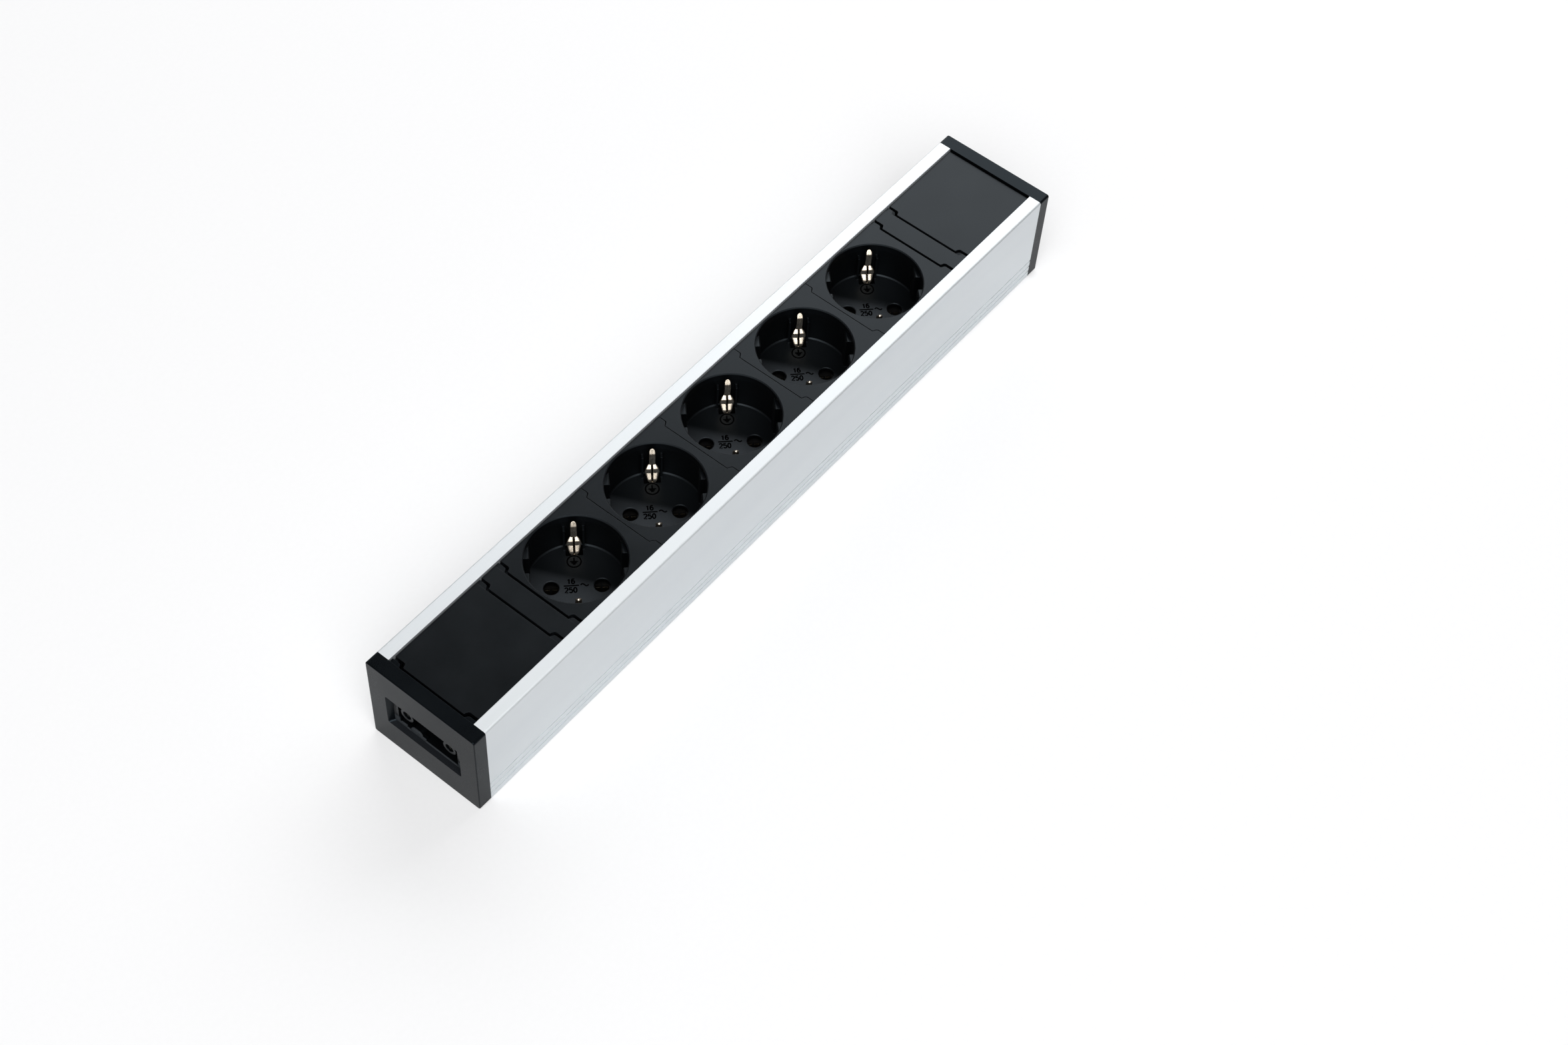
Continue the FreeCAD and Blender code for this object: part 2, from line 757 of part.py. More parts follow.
def inlet_contact(pole):
    """Turned contact: a split tube at the front, a collar and a barrel for the lead behind."""
    recess = earth_sleeve_recess if pole == 0 else sleeve_recess
    tip = seat_x + recess + contact_recess
    middle = V(tip, pole * pole_pitch, inlet_z)
    length = insert_back - tip
    parts = [rod(contact_radius, middle, V(length, 0, 0)),
             rod(collar_radius, middle + V(length, 0, 0), V(collar_length, 0, 0)),
             rod(barrel_radius, middle + V(length + collar_length, 0, 0), V(barrel_length, 0, 0))]
    bores = [rod(contact_bore, middle, V(contact_bore_depth, 0, 0)),
             rod(barrel_bore, middle + V(length + collar_length + barrel_length - lead_entry, 0, 0),
                 V(lead_entry, 0, 0)),
             box(tip, tip + contact_slit_depth, middle.y - contact_slit / 2, middle.y + contact_slit / 2,
                 inlet_z - collar_radius, inlet_z + collar_radius)]
    return without(joined(parts), bores)


def coding_key():
    """Rounded rib on the mouth's floor with a low lip at each side."""
    bottom = inlet_z - mouth_height / 2
    parts = []
    arch = [(key_offset - key_radius, bottom - 0.5, 0), (key_offset + key_radius, bottom - 0.5, 0),
            (key_offset + key_radius, bottom + key_height, key_radius * 0.95),
            (key_offset - key_radius, bottom + key_height, key_radius * 0.95)]
    parts.append(prism(arch, across(seat_x), V(key_depth, 0, 0)))
    for low, high in key_lips:
        parts.append(box(seat_x, seat_x + key_lip_depth, low, high, bottom - 0.5, bottom + key_lip_height))
    return parts


def inlet_insert():
    """Three-pole inlet: flange, box with a deep mouth, sleeves round the contacts and the key."""
    flange = prism(block((-insert_flange_width / 2, inlet_z - insert_flange_height / 2),
                         (insert_flange_width / 2, inlet_z + insert_flange_height / 2), window_corner),
                   across(seat_x), V(insert_flange, 0, 0))
    body = prism(block((-insert_width / 2, inlet_z - insert_height / 2),
                       (insert_width / 2, inlet_z + insert_height / 2), window_corner),
                 across(seat_x), V(insert_length, 0, 0))
    mouth = prism(block((-mouth_width / 2, inlet_z - mouth_height / 2),
                        (mouth_width / 2, inlet_z + mouth_height / 2), mouth_corner),
                  across(seat_x), V(mouth_depth, 0, 0))
    shell = joined([flange, body]).cut(mouth)
    parts = [shell] + coding_key()
    bores = []
    for pole in (-1, 0, 1):
        recess = earth_sleeve_recess if pole == 0 else sleeve_recess
        start = V(seat_x + recess, pole * pole_pitch, inlet_z)
        parts.append(rod(sleeve_radius, start, V(mouth_depth - recess + 1.0, 0, 0)))
        bores.append(rod(sleeve_bore, start, V(insert_length, 0, 0)))
    return without(joined(parts), bores)


# End caps

def cap_shell(pegs):
    """Cap common to both ends: hollow plate, tongues under the guide ribs, lips and pegs."""
    outer = prism(block((-half_width, 0), (half_width, strip_height), channel_corner),
                  across(near_end), V(cap_plate, 0, 0))
    edges = [edge for edge in outer.Edges if abs(edge.BoundBox.XMax - near_end) < 1e-6]
    outer = outer.makeFillet(cap_edge, edges)
    hollow = prism(block((-inner_half, channel_floor), (inner_half, plate_under), channel_corner),
                   across(seat_x), V(cap_plate, 0, 0))
    parts = [outer.cut(hollow)]
    tongue_top = guide_top - guide_thickness - slide_gap
    for side in (-1, 1):
        outer_y = side * shoulder_half
        tongue = sorted((outer_y, outer_y - side * cap_tongue_width))
        parts.append(box(seat_x, channel_start + cap_tongue_length, *tongue,
                         tongue_top - cap_tongue_thickness, tongue_top))
        lip = sorted((outer_y, outer_y - side * cap_lip_thickness))
        parts.append(box(seat_x, channel_start + cap_lip_length, *lip,
                         strip_height * 0.3, strip_height * 0.72))
    for side in pegs:
        post = sorted((side * inner_half, side * (port_y - port_radius)))
        parts.append(box(seat_x, channel_start, *post, channel_floor, port_z + port_radius))
        parts.append(cap_peg(side))
    return parts


def cap_peg(side):
    """Peg that presses into one of the channel's ports, tapered at its tip."""
    radius = port_radius - peg_gap
    start = V(seat_x, side * port_y, port_z)
    straight = V(cap_plate - cap_front + peg_length * 0.7, 0, 0)
    tip = Part.makeCone(radius, radius * 0.7, peg_length * 0.3, start + straight, V(1, 0, 0))
    return rod(radius, start, straight).fuse(tip)


def inlet_window():
    """Space of the window, its side walls drawn in towards the insert."""
    low = inlet_z - window_height / 2
    high = inlet_z + window_height / 2
    outer = window_width / 2
    inner = outer - window_draft
    front = rounded_wire(block((-outer, low), (outer, high), window_corner), across(near_end))
    back = rounded_wire(block((-inner, low), (inner, high), window_corner), across(seat_x))
    return Part.makeLoft([front, back], True)


def end_cap_inlet():
    """Near cap with the inlet's window, the hooks that hold the insert, and a tongue with two tabs."""
    parts = cap_shell((-1, 1))
    parts.append(prism(block((-plate_half, plate_under), (plate_half, strip_height), plate_edge),
                       across(seat_x), V(channel_start - seat_x, 0, 0)))
    back = seat_x + insert_flange + slide_gap
    for side in (-1, 1):
        edge = inlet_z + side * (insert_flange_height / 2 + slide_gap)
        arm = sorted((edge, edge + side * hook_thickness))
        parts.append(box(seat_x, back + hook_catch, -hook_width / 2, hook_width / 2, *arm))
        catch = [(back, edge + side * 0.1, 0), (back + hook_catch, edge + side * 0.1, 0),
                 (back, edge - side * hook_catch, 0)]
        parts.append(prism(catch, lambda a, b: V(a, -hook_width / 2, b), V(0, hook_width, 0)))
        parts.append(tab(channel_start, side, 0, plate_under + slide_gap, face_z))
    return joined(parts).cut(inlet_window())


def end_cap_blind():
    """Far cap, plain outside and ribbed inside, with a ledge under the blank panel's end."""
    parts = cap_shell((-1,))
    ledge_half = plate_half - skirt_thickness - slide_gap
    ledge_top = plate_under - slide_gap
    parts.append(box(seat_x, channel_start + far_cap_joint + lap_reach, -ledge_half, ledge_half,
                     ledge_top - lap_thickness, ledge_top))
    low = strip_height * 0.38
    for z in (low, strip_height * 0.64):
        parts.append(box(seat_x, channel_start, -inner_half, inner_half, z - cap_rib / 2, z + cap_rib / 2))
    for y in (-half_width * 0.35, half_width * 0.35):
        parts.append(box(seat_x, channel_start, y - cap_rib / 2, y + cap_rib / 2, low, plate_under))
    return mirrored(joined(parts))


def insulating_tray():
    """Plastic tray on the channel's floor that keeps the bars off the metal."""
    half = tray_width / 2
    half_ridge = tray_ridge / 2
    right = [(half, channel_floor, 0), (half, tray_top + tray_lip_height, plate_edge),
             (half - tray_lip, tray_top + tray_lip_height, plate_edge), (half - tray_lip, tray_top, 0),
             (half_ridge, tray_top, 0), (half_ridge, tray_top + tray_ridge_height, plate_edge)]
    left = [(-y, z, radius) for y, z, radius in reversed(right)]
    start = bars_start - barrel_length - tray_overhang
    return prism(right + left, across(start), V(bars_end + tray_overhang - start, 0, 0))


# Bond to the channel

def bonding_tag():
    """Bent tag: a foot on the port's end and an arm back to the lead's barrel."""
    end = channel_start + channel_length
    half = tag_thickness / 2
    path = [(end + half, port_y + tag_width / 2, 0), (end + half, port_y - tag_offset, tag_bend),
            (end + half - tag_run, port_y - tag_offset, 0)]
    strip = prism(strip_corners(path, tag_thickness), flat(port_z - tag_width / 2), up * tag_width)
    start = V(end + half - tag_run, port_y - tag_offset - half - barrel_radius + 0.1, port_z)
    barrel = rod(barrel_radius, start, V(barrel_length, 0, 0))
    bore = rod(barrel_bore, start, V(lead_entry, 0, 0))
    hole = rod(port_radius + slide_gap, V(end - 1, port_y, port_z), V(tag_thickness + 2, 0, 0))
    return without(joined([strip, barrel]), [bore, hole])


def bonding_screw():
    """Slotted pan-head screw that holds the tag on the port."""
    seat = V(channel_start + channel_length + tag_thickness, port_y, port_z)
    head = rod(bond_head_radius, seat, V(bond_head_height, 0, 0))
    shank = rod(port_radius, seat, V(-bond_screw_length, 0, 0))
    top = seat.x + bond_head_height
    slot = box(top - bond_slot, top, port_y - bond_head_radius, port_y + bond_head_radius,
               port_z - bond_slot / 2, port_z + bond_slot / 2)
    return head.fuse(shank).cut(slot)


def bonding_lead():
    """Lead from the earth bar's far end to the tag."""
    end = channel_start + channel_length
    start = V(bars_end + barrel_length - lead_entry, 0, earth_barrel_z)
    target = V(end - tag_run + tag_thickness / 2 + lead_entry,
               port_y - tag_offset - tag_thickness / 2 - barrel_radius + 0.1, port_z)
    run = V(lead_entry + bond_run, 0, 0)
    return lead([start, start + run, target - run, target])


def build():
    """Makes every piece and writes its file."""
    os.makedirs("parts", exist_ok=True)
    far_spacer = sockets_end + spacer_length
    channel_end = channel_start + channel_length
    save("housing_profile", housing_channel())
    save("end_cap_inlet", end_cap_inlet())
    save("end_cap_blind", end_cap_blind())
    save("inlet_insert", inlet_insert())
    for pole, name in ((-1, "live"), (0, "earth"), (1, "neutral")):
        save(f"inlet_contact_{name}", inlet_contact(pole))
        save(f"lead_{name}", inlet_lead(pole))
    near_spacer = channel_start + blank_length
    save("blank_panel_near", blank_panel(channel_start, near_spacer, near_cap_joint, tab_step, False))
    save("spacer_near", plate(near_spacer, sockets_start, wide_joint, tab_step, True))
    save("spacer_far", plate(sockets_end, far_spacer, wide_joint, tab_step, True))
    far_end = channel_end - far_cap_joint
    save("blank_panel_far", blank_panel(far_spacer, far_end, wide_joint, None, True))
    for index in range(socket_count):
        number = index + 1
        save(f"socket_{number}", socket_insert(index))
        save(f"socket_base_{number}", socket_base(index))
        save(f"earth_clip_{number}", earth_clip(index))
        save(f"live_contact_{number}", pin_fork(index, 1))
        save(f"neutral_contact_{number}", pin_fork(index, -1))
    save("base_screws", base_screws())
    save("busbar_live", busbar(1))
    save("busbar_neutral", busbar(-1))
    save("busbar_earth", earth_bar())
    save("insulating_tray", insulating_tray())
    save("bonding_tag", bonding_tag())
    save("bonding_screw", bonding_screw())
    save("bonding_lead", bonding_lead())
    print("strip length", strip_length)


build()
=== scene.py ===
import math

import bpy
import numpy as np
from mathutils import Matrix, Vector


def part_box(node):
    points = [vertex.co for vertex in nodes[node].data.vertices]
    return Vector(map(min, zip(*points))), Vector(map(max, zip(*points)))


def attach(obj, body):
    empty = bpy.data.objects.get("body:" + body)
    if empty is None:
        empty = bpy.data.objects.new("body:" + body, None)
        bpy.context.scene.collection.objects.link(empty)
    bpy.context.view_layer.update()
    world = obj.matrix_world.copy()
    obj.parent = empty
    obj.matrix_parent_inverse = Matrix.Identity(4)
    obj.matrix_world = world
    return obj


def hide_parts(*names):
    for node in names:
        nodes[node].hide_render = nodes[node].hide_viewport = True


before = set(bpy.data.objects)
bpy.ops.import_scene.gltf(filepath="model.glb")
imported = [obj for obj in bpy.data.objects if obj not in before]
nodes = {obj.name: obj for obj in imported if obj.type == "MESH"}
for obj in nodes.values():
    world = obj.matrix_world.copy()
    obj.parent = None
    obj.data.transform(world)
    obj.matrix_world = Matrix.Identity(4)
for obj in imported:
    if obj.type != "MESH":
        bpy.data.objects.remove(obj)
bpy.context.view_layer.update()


# The channel is one length of extruded aluminium, cut to size, brushed by its
# passage through the die and then anodised to a satin silver. Everything else
# slides into it between the two flanges.

class Field:
    """A shader socket, so that patterns can be written as plain arithmetic."""

    def __init__(self, finish, socket):
        self.finish = finish
        self.socket = socket

    def maths(self, operation, *values):
        """Adds a Math node that works on the values in their order."""
        return self.finish.node("ShaderNodeMath", {"operation": operation}, dict(enumerate(values)))

    def fraction(self):
        return self.maths("FRACT", self)

    def minimum(self, other):
        return self.maths("MINIMUM", self, other)

    def __abs__(self):
        return self.maths("ABSOLUTE", self)

    def __add__(self, other):
        return self.maths("ADD", self, other)

    def __radd__(self, other):
        return self.maths("ADD", other, self)

    def __sub__(self, other):
        return self.maths("SUBTRACT", self, other)

    def __rsub__(self, other):
        return self.maths("SUBTRACT", other, self)

    def __mul__(self, other):
        return self.maths("MULTIPLY", self, other)

    def __rmul__(self, other):
        return self.maths("MULTIPLY", other, self)

    def __gt__(self, other):
        return self.maths("GREATER_THAN", self, other)

    def __lt__(self, other):
        return self.maths("LESS_THAN", self, other)


class Finish:
    """One material: its nodes, its Principled shader and the place on the piece in metres."""

    def __init__(self, name, **shader):
        self.material = bpy.data.materials.new(name)
        self.material.use_nodes = True
        self.tree = self.material.node_tree
        self.shader = self.tree.nodes["Principled BSDF"]
        for socket, value in shader.items():
            self.shader.inputs[socket.replace("_", " ")].default_value = value
        self.place = self.node("ShaderNodeTexCoord", {}, {}, "Object")

    def node(self, kind, settings, inputs, output=0):
        """Adds a node: its settings first, then the values or links of its sockets."""
        made = self.tree.nodes.new(kind)
        for name, value in settings.items():
            setattr(made, name, value)
        for socket, value in inputs.items():
            if isinstance(value, Field):
                self.tree.links.new(value.socket, made.inputs[socket])
            else:
                made.inputs[socket].default_value = value
        return Field(self, made.outputs[output])

    def stretched(self, x, y, z):
        """The place on the piece, counted in patches of the given sizes in millimetres."""
        scale = tuple(1000 / size for size in (x, y, z))
        inputs = {"Vector": self.place, "Scale": scale}
        return self.node("ShaderNodeMapping", {"vector_type": "POINT"}, inputs)

    def noise(self, place, detail=2.0, roughness=0.5):
        """Soft noise from 0 to 1 over the given place."""
        inputs = {"Vector": place, "Scale": 1.0, "Detail": detail, "Roughness": roughness}
        return self.node("ShaderNodeTexNoise", {}, inputs)

    def blend(self, mask, first, second):
        """Colour that goes from first to second as mask goes from 0 to 1."""
        inputs = {0: mask, 6: first, 7: second}
        return self.node("ShaderNodeMix", {"data_type": "RGBA"}, inputs, 2)

    def edges(self, radius):
        """Normal that turns round every sharp edge over the given radius in millimetres."""
        return self.node("ShaderNodeBevel", {"samples": 4}, {"Radius": radius / 1000})

    def bump(self, height, depth, rounding=None):
        """Normal of a surface whose height field spans depth in millimetres, with its edges rounded."""
        inputs = {"Height": height, "Distance": depth / 1000, "Strength": 1.0}
        if rounding:
            inputs["Normal"] = self.edges(rounding)
        self.feed("Normal", self.node("ShaderNodeBump", {}, inputs))

    def along(self, axis):
        """The place on the piece along X, Y or Z, in metres."""
        return self.node("ShaderNodeSeparateXYZ", {}, {"Vector": self.place}, axis)

    def within(self, axis, low, high):
        """Mask that is 1 where the piece lies between two places along an axis."""
        place = self.along(axis)
        return (place > low) * (place < high)

    def inside(self, low, high):
        """Mask that is 1 inside the box between two corners."""
        across, wide, tall = [self.within(*ends) for ends in zip("XYZ", low, high)]
        return across * wide * tall

    def feed(self, socket, value):
        """Leads a pattern into one of the shader's sockets."""
        self.tree.links.new(value.socket, self.shader.inputs[socket])

    def cover(self, *names):
        """Gives the material to CAD nodes by name, or to pieces."""
        for name in names:
            thing = nodes[name] if isinstance(name, str) else name
            thing.data.materials.clear()
            thing.data.materials.append(self.material)


anodised = Finish("satin anodised aluminium", Metallic=1.0)
die_lines = anodised.noise(anodised.stretched(400, 0.35, 0.35), detail=3.0)
drift = anodised.noise(anodised.stretched(90, 12, 12))
anodised.feed("Base Color", anodised.blend(drift, (0.84, 0.875, 0.90, 1), (0.89, 0.92, 0.935, 1)))
anodised.feed("Roughness", die_lines * 0.10 + 0.55)
anodised.bump(die_lines, depth=0.004, rounding=0.04)
anodised.cover("housing_profile")


# The blank panels, the spacers and the sockets are moulded in the same black
# plastic, with the fine dull grain of a spark-eroded mould. The wells' floors
# are painted grey with the light that falls on them towards the inlet and with
# shade away from it, and their walls are painted dark with shade.

def moulded_black(name, grain, roughness, depth, rounding, level=0.36, tint=(0.76, 0.89, 1.0, 1)):
    """Black plastic with a fine even grain and faint cloudy marks from handling.

    Its roughness is about the one given, plus an eighth of the clouds and a twelfth of the grain.
    """
    plastic = Finish(name, IOR=1.47, Specular_IOR_Level=level, Specular_Tint=tint)
    plastic.spots = plastic.noise(plastic.stretched(grain, grain, grain), detail=3.0, roughness=0.6)
    clouds = plastic.noise(plastic.stretched(14, 14, 14), detail=4.0)
    plastic.black = plastic.blend(clouds, (0.0010, 0.0012, 0.0015, 1), (0.0020, 0.0023, 0.0028, 1))
    plastic.dullness = clouds * 0.12 + (roughness - 0.06) + plastic.spots * 0.08
    plastic.feed("Base Color", plastic.black)
    plastic.feed("Roughness", plastic.dullness)
    plastic.bump(plastic.spots, depth, rounding)
    return plastic


def middle(node):
    """Middle of a CAD node: the mean of the lowest and highest corners of its box."""
    return np.mean(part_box(node), axis=0)


grained = moulded_black("fine grained black plastic", grain=0.35, roughness=0.27, depth=0.006, rounding=0.2)

# Place within a well: along and across the strip from the well's own middle.
well_radius = 0.0195
rim_radius = 0.0205
first_well = middle("earth_clip_1")[0]
pitch = middle("earth_clip_2")[0] - first_well
wells_start = first_well - pitch / 2
along_well = (((grained.along("X") - wells_start) * (1 / pitch)).fraction() - 0.5) * pitch
across_well = grained.along("Y")

# Masks by height: the wells' floors, their walls and the bevels of their rims.
socket_bottom, plate_face = (corner[2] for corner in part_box("socket_1"))
floor_thickness = 0.0022
well_floor = socket_bottom + floor_thickness
under_floor = well_floor - 0.0004
floor_bevel = well_floor + 0.0002
wall_top = plate_face - 0.0033
floors = grained.within("Z", under_floor, well_floor + 0.00005)
walls = grained.within("Z", floor_bevel, wall_top)
bevels = grained.within("Z", plate_face - 0.00045, plate_face - 0.00002)
rims = bevels * (along_well * along_well + across_well * across_well < rim_radius ** 2)

# Painted light over a floor: it grows towards the lit side, steeply in the shaded half and slowly in the lit
# one.
lit_along, lit_across = -0.90, -0.43
towards_light = along_well * (lit_along / well_radius) + across_well * (lit_across / well_radius) + 0.07
floor_light = (towards_light * 2.4).minimum(towards_light * 0.9) + grained.spots * 0.2 + 0.25
floor_light_and_shade = grained.blend(floor_light, (0.0014, 0.0016, 0.0019, 1), (0.044, 0.049, 0.055, 1))
greyed = grained.blend(floors, grained.black, floor_light_and_shade)
# The floors take their painted light and shade, and the walls a painted shade darker than the plastic.
grained.feed("Base Color", grained.blend(walls, greyed, (0.0002, 0.0002, 0.0003, 1)))
grained.feed("Roughness", grained.dullness + grained.within("Z", under_floor, wall_top) * 0.13 + rims * 0.35)
grained.cover("blank_panel_near", "blank_panel_far", "spacer_near", "spacer_far")
sockets = range(1, 6)
grained.cover(*[f"socket_{number}" for number in sockets])


# The end caps are moulded in a deeper black, and the lower edge of the inlet's
# window is painted grey with the light that falls on it.

def painted_light(plastic, low, high, dark, light):
    """Colour of the plastic with painted light, grey and brighter with the grain, in the box between two
    corners.
    """
    grey = plastic.blend(plastic.spots, dark, light)
    return plastic.blend(plastic.inside(low, high), plastic.black, grey)


caps = moulded_black("deep black plastic", grain=0.35, roughness=0.25, depth=0.006, rounding=0.2,
                     level=0.22, tint=(0.60, 0.82, 1.0, 1))

# Places of the boxes with painted light: the two fronts, and half the sill's width and a height just under
# it.
cap_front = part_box("end_cap_inlet")[0][0]
insert_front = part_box("inlet_insert")[0][0]
sill_half = 0.0174
under_sill = 0.0140
sill_start = (cap_front + 0.00008, -sill_half, under_sill)
sill_end = (insert_front + 0.0001, sill_half, under_sill + 0.0008)
# The window's sill is painted grey with the light that falls on it.
caps.feed("Base Color", painted_light(caps, sill_start, sill_end,
                               (0.010, 0.011, 0.013, 1), (0.016, 0.018, 0.021, 1)))
caps.cover("end_cap_inlet", "end_cap_blind")


# The inlet is moulded in a smoother black plastic, with painted highlights on the
# edges low on its front. Its three contacts are turned brass tubes, plated with
# nickel, as is the tag that bonds the channel to earth.

smooth = moulded_black("smooth black plastic", grain=0.8, roughness=0.25, depth=0.004, rounding=0.45)
front_start = (insert_front - 0.0001, -sill_half, under_sill)
front_end = (insert_front + 0.0005, sill_half, under_sill + 0.0041)
# The edges low on the insert's front carry a painted highlight.
smooth.feed("Base Color", painted_light(smooth, front_start, front_end,
                                 (0.034, 0.038, 0.043, 1), (0.052, 0.058, 0.064, 1)))
smooth.cover("inlet_insert")

nickel = Finish("nickel plated brass", Metallic=0.95)
rub = nickel.noise(nickel.stretched(0.7, 0.7, 3.0), detail=4.0, roughness=0.7)
plating = nickel.blend(rub, (0.16, 0.13, 0.09, 1), (0.95, 0.85, 0.72, 1))

# The slit down a finger's head is painted dark with the shade in it. The fingers' own map gives its place,
# and the tubes have none.
slit_height = 0.0084
slit_share = 0.05
own_map = nickel.node("ShaderNodeTexCoord", {}, {}, "UV")
off_middle = nickel.node("ShaderNodeSeparateXYZ", {}, {"Vector": own_map}, "X") - 0.5
slit = (abs(off_middle) < slit_share) * nickel.within("Z", well_floor, well_floor + slit_height)

nickel.feed("Base Color", nickel.blend(slit, plating, (0.010, 0.009, 0.007, 1)))
nickel.feed("Roughness", rub * 0.16 + 0.19)
nickel.bump(rub, depth=0.02, rounding=0.15)
poles = ("live", "neutral", "earth")
nickel.cover(*[f"inlet_contact_{pole}" for pole in poles], "bonding_tag")


# Each earth clip is one strip of springy brass, plated with nickel. It runs
# under the well's floor and is bent up at both sides into a finger, with a
# split head pressed into two bulges, one above the other, and a narrow tip.

pin_turn = math.radians(45)
pin_line = np.array([math.cos(pin_turn), -math.sin(pin_turn), 0])
earth_line = np.array([math.sin(pin_turn), math.cos(pin_turn), 0])
upright = np.array([0, 0, 1])

# The strip's thickness, its half widths from the leg to the tip, and the forms pressed into its head.
clip_thickness = 0.0007
clip_leg_half = 0.0022
clip_root_half = 0.0012
clip_head_half = 0.0029
clip_tip_half = 0.00125
clip_widening = 0.0040
clip_shoulder = 0.0035
clip_head_top = 0.0085
clip_bulge = 0.00025
clip_groove_depth = 0.0012
clip_groove_half = 0.00022
clip_tip_rise = 0.0006
clip_fade = 0.0010


def well_middle(number):
    """Middle of one well's floor, which is where its clip has its middle."""
    centre = middle(f"earth_clip_{number}")
    return np.array([centre[0], centre[1], well_floor])


def grid_mesh(name, rows, across):
    """Mesh of rows by columns of points, joined round and capped, with the place across as its own UV."""
    count, around = rows.shape[:2]
    index = np.arange(count * around).reshape(count, around)
    side = np.roll(index, -1, axis=1)
    quads = np.stack([index[:-1], side[:-1], side[1:], index[1:]], axis=-1).reshape(-1, 4)
    mesh = bpy.data.meshes.new(name)
    ends = [index[0][::-1].tolist(), index[-1].tolist()]
    mesh.from_pydata(rows.reshape(-1, 3).tolist(), [], quads.tolist() + ends)
    mesh.polygons.foreach_set("use_smooth", np.ones(len(mesh.polygons), bool))
    corners = np.empty(len(mesh.loops), int)
    mesh.loops.foreach_get("vertex_index", corners)
    places = np.stack([across[corners % around] / 2 + 0.5, corners // around / count], axis=1)
    mesh.uv_layers.new(name="UVMap").data.foreach_set("uv", places.ravel())
    return mesh


def place_piece(name, mesh, material):
    """Puts a mesh into the scene as a piece that rides on the strip."""
    piece = bpy.data.objects.new(name, mesh)
    bpy.context.scene.collection.objects.link(piece)
    material.cover(piece)
    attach(piece, "root")
    return piece


def bent_line(corners, step, turn):
    """Points at even steps along straight runs, averaged over a length of turn, which rounds the corners.

    The first and last runs are lengthened by turn before the average, and cut back to their ends after it.
    """
    corners = np.array(corners)
    lengths = np.concatenate([[0], np.cumsum(np.linalg.norm(np.diff(corners, axis=0), axis=1))])
    first = corners[0] - corners[1]
    last = corners[-1] - corners[-2]
    runs = np.vstack([corners[0] + first / np.linalg.norm(first) * turn, corners[1:-1],
                      corners[-1] + last / np.linalg.norm(last) * turn])
    marks = np.concatenate([[-turn], lengths[1:-1], [lengths[-1] + turn]])
    places = np.arange(-turn, lengths[-1] + turn, step)
    line = np.stack([np.interp(places, marks, runs[:, axis]) for axis in range(2)], axis=1)
    window = np.hanning(int(turn / step) | 1)
    window /= window.sum()
    smoothed = np.stack([np.convolve(line[:, axis], window, "valid") for axis in range(2)], axis=1)
    spare = int(round(turn / step)) - len(window) // 2
    return smoothed[spare:len(smoothed) - spare]


def finger_line(bottom, tip):
    """Middle line of the strip, as distances from the well's middle and heights over its floor.

    One finger's corners, from its leg up to its tip, follow their mirror image.
    """
    right = [(0.01490, bottom + clip_thickness / 2), (0.01490, 0.0006), (0.01500, 0.0013),
             (0.01720, 0.0039), (0.01620, 0.0045), (0.01620, 0.0062), (0.01785, 0.0080),
             (0.01690, 0.0087), (0.01610, 0.0136), (0.01630, 0.0154), (0.01775, tip)]
    left = [(-reach, height) for reach, height in reversed(right)]
    return bent_line(left + right, step=0.0001, turn=0.0007)


def ramp(distance, span):
    """Grows evenly from 0 to 1 while distance goes from nothing to span."""
    return np.clip(distance / span, 0, 1)


def quarter_round(depth, radius):
    """How far a rounded corner has drawn in: radius less the height of a quarter circle at depth into it."""
    return radius * (1 - np.sqrt(1 - ramp(depth, radius) ** 2))


def finger_half_width(height, tip):
    """Half width of the strip at a height: root widening into the head, round corners and a round tip."""
    wide = clip_root_half + (clip_head_half - clip_root_half) * ramp(height, clip_widening) ** 0.7
    into_shoulder = height - clip_head_top + clip_shoulder + 0.0001
    wide = np.maximum(wide - quarter_round(into_shoulder, clip_shoulder), clip_tip_half)
    end = clip_tip_half - quarter_round(height - tip + clip_tip_half, clip_tip_half) + 1e-5
    return np.select([height < -0.0015, height < clip_head_top], [clip_leg_half, wide], end)


def bar_section(count):
    """Places across a flat bar, from 1 to -1 and back, and how far its skin lies from its middle there.

    The places crowd towards the middle, by a power of one and a half. The skin lies out by the square root
    of one minus the place to the eighth, on one side going there and on the other coming back.
    """
    there = np.linspace(1, -1, count)
    there = np.sign(there) * np.abs(there) ** 1.5
    across = np.concatenate([there, there[-2:0:-1]])
    through = np.sqrt(1 - across ** 8)
    through[count:] *= -1
    return across, through


